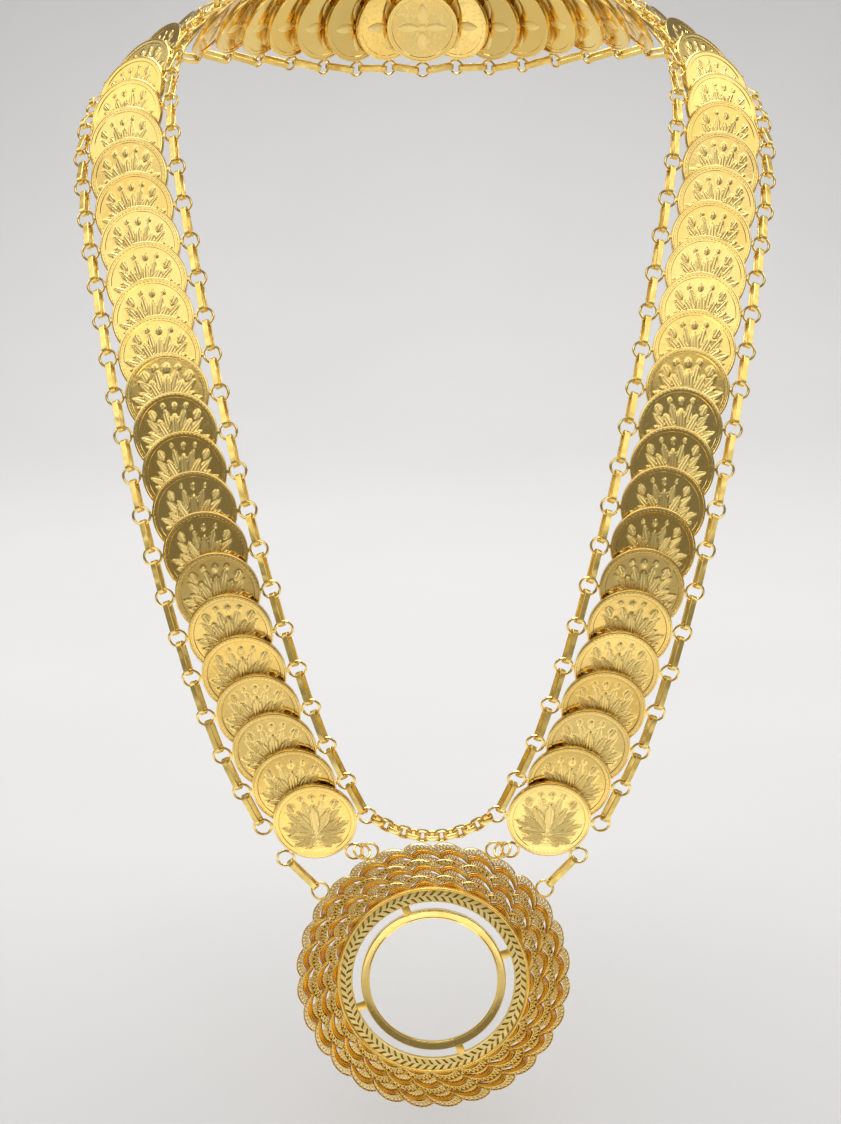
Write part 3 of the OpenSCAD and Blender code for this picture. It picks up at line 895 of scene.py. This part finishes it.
seat_gold = polished_gold(
    "turned coin ring gold", (0.95, 0.72, 0.26), (0.88, 0.60, 0.16), 0.12, cloud_scale=200.0, wear=0.1,
)
for name, mesh, gold in (
    ("coin_ring", coin_seat(), seat_gold),
    ("coin_ring_tabs", joined("tabs", *[tab(first_tab + 90 * k) for k in range(4)]), filigree_gold),
):
    piece = shown(name, mesh)
    piece.data.materials.append(gold)
    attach(piece, "root")
    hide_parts("pendant")

# Hanging rings: four rings of round wire soldered in the dips of the outermost row, which carry the
# pendant on the jump rings and drop links.
hanger_r = 39.8
hanger_z = 0.55
hanger_dips = (-4, -2, 2, 4)


def hanger(dip):
    """Ring in one of the dips, counted from the dip at the top."""
    ring = round_ring(ring_mean_r, ring_wire, steps=32, sides=10)
    bmesh.ops.translate(ring, verts=ring.verts, vec=(0, hanger_r * mm, hanger_z * mm))
    mesh = as_mesh(ring, "hanging ring")
    mesh.transform(pendant_at @ Matrix.Rotation(-dip * 2 * math.pi / petals[0], 4, "Z"))
    return mesh


piece = shown("hanging_rings", joined("hanging rings", *[hanger(dip) for dip in hanger_dips]))
piece.data.materials.append(bezel_gold)
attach(piece, "root")
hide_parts("pendant")

# Studio: a pale sweep of card under and behind the hanging necklace. Softboxes light the gold from
# the front and both sides, and two strips on the card light it from below. One more softbox stands
# overhead, for the card. Sizes are in metres.
floor_z = -0.30
card_front_y = -0.95
card_half_w = 1.05
card_top_z = 2.2
sweep_r = 0.5
backdrop_y = 1.35
card_tones = ((0.52, 0.515, 0.51), (0.56, 0.555, 0.55))
strip_z = floor_z + 0.005


def card_sweep():
    """Floor and backdrop in one, with a rounded corner."""
    corner_y, corner_z = backdrop_y - sweep_r, floor_z + sweep_r
    line = [(card_front_y, floor_z), (corner_y, floor_z)]
    for a in np.linspace(0.1, math.pi / 2, 12):
        line.append((corner_y + sweep_r * math.sin(a), corner_z - sweep_r * math.cos(a)))
    line.append((backdrop_y, card_top_z))
    bm = bmesh.new()
    verts = [bm.verts.new((-card_half_w, y, z)) for y, z in line]
    pulled(bm, [bm.edges.new(pair) for pair in zip(verts, verts[1:])], (2 * card_half_w, 0, 0))
    bmesh.ops.recalc_face_normals(bm, faces=bm.faces)
    return as_mesh(bm, "card")


card = bpy.data.materials.new("pale card")
card.use_nodes = True
card_tree = card.node_tree
card_place = put(card_tree, "ShaderNodeTexCoord").outputs["Object"]
card_grain = put(card_tree, "ShaderNodeTexNoise", [("Vector", card_place)], Scale=6.0, Detail=3.0)
card_shader = card_tree.nodes["Principled BSDF"]
card_shader.inputs["Roughness"].default_value = 0.7
card_tree.links.new(
    mixed(card_tree, card_grain.outputs["Fac"], *card_tones), card_shader.inputs["Base Color"],
)
floor = shown("floor_card", card_sweep())
floor.data.materials.append(card)


def softbox(name, place, aim, size, brightness, spread):
    """Rectangular light turned to a point, with a grid that narrows its spread in degrees."""
    half = math.radians(spread / 2)
    light = bpy.data.lights.new(name, "AREA")
    light.shape = "RECTANGLE"
    light.size, light.size_y = size
    light.spread = 2 * half
    light.energy = math.pi * size[0] * size[1] * brightness * (1 - half / math.tan(half))
    lamp = bpy.data.objects.new(name, light)
    lamp.location = place
    lamp.rotation_mode = "QUATERNION"
    lamp.rotation_quaternion = (Vector(aim) - Vector(place)).to_track_quat("-Z", "Y")
    lamp.visible_camera = False
    bpy.context.scene.collection.objects.link(lamp)


softbox("front softbox", (0, -1.15, 0.85), (0, -0.05, -0.02), (2.0, 0.75), 1.45, 110)
softbox("side softbox", (-1.15, -0.3, 0.85), (-0.05, -0.05, -0.02), (1.9, 0.75), 1.4, 120)
softbox("side softbox", (1.15, -0.3, 0.85), (0.05, -0.05, -0.02), (1.9, 0.75), 1.4, 120)
softbox("overhead softbox", (0, 0.4, 1.35), (0, 0.5, -0.3), (1.6, 1.1), 8, 120)
softbox("low strip", (0, -0.40, strip_z), (0, -0.38, 0), (0.9, 0.12), 0.95, 150)
softbox("low near strip", (0, -0.225, strip_z), (0, -0.20, 0), (0.9, 0.07), 0.95, 150)

# The world is dark where the gold mirrors it, and pale where the camera looks past the card
mirrored_world = (0.21, 0.206, 0.196)
seen_world = (0.62, 0.615, 0.61)
world = bpy.data.worlds.new("studio")
world.use_nodes = True
sky = world.node_tree
seen = put(sky, "ShaderNodeLightPath").outputs["Is Camera Ray"]
sky.links.new(mixed(sky, seen, mirrored_world, seen_world), sky.nodes["Background"].inputs["Color"])
bpy.context.scene.world = world
bpy.context.scene.view_settings.view_transform = "Standard"

# Camera: in front of the necklace, about level with the top of the loop, and looking down at it as
# in the photograph. Angles are in degrees.
lens_mm = 59.57
sensor_mm = 36
camera_at = (-0.0024, -0.6, 0)
camera_down = 15
camera_roll = -0.59
camera = bpy.data.cameras.new("camera")
camera.sensor_fit = "VERTICAL"
camera.sensor_height = sensor_mm
camera.lens = lens_mm
viewer = bpy.data.objects.new("camera", camera)
viewer.matrix_world = (
    Matrix.Translation(camera_at) @ Matrix.Rotation(math.radians(90 - camera_down), 4, "X")
    @ Matrix.Rotation(math.radians(camera_roll), 4, "Z")
)
bpy.context.scene.collection.objects.link(viewer)
bpy.context.scene.camera = viewer
